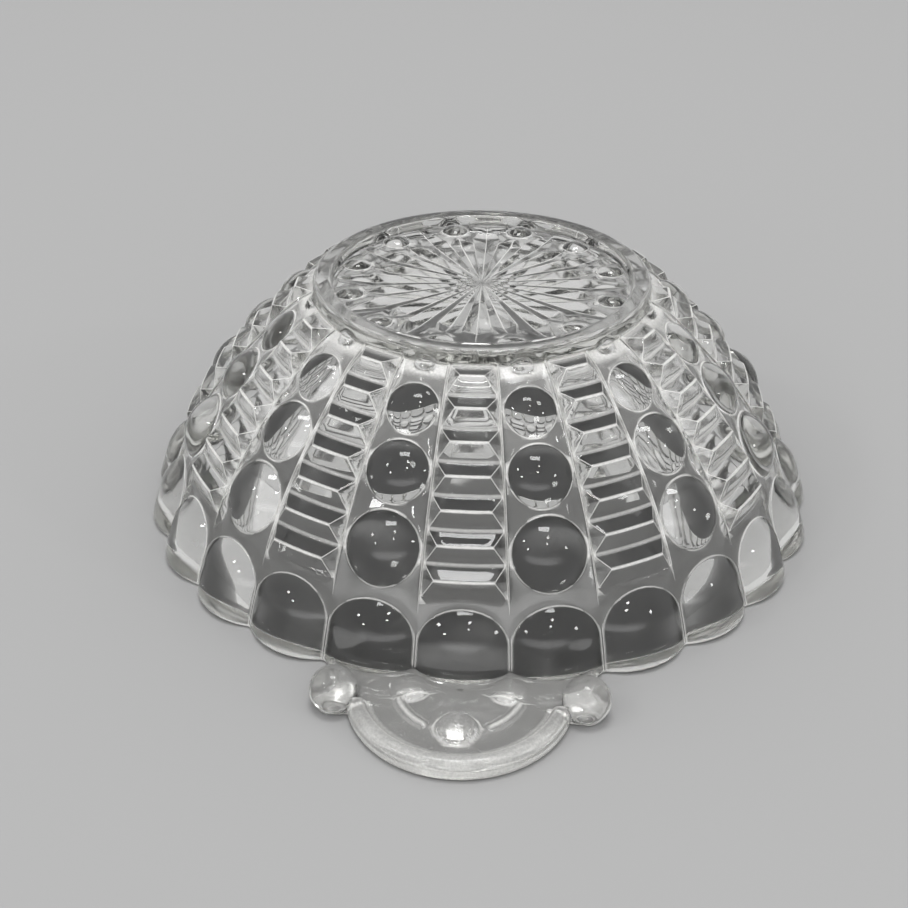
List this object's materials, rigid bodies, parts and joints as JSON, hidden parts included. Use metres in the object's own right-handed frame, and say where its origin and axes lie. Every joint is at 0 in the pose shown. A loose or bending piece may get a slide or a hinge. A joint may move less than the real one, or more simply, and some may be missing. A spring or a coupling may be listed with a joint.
{
  "type": "pressed glass bowl",
  "caption": "Clear pressed glass bowl, upside down on its scalloped rim: beaded and laddered wall, foot ring, star base and tab handle.",
  "frame": {"origin": "the bowl's axis where it meets the rim plane, which the bowl lies on upside down as in the picture", "axes": "+Z along the bowl's axis from the rim up to the foot ring, the tab handle towards -Y, X across"},
  "size_m": [0.1408, 0.1612, 0.0499],
  "materials": {
    "clear_glass": "clear fire-polished pressed glass, faintly green in thick edges"
  },
  "bodies": {
    "root": {"glass_bowl": "clear_glass"}
  },
  "joints": []
}
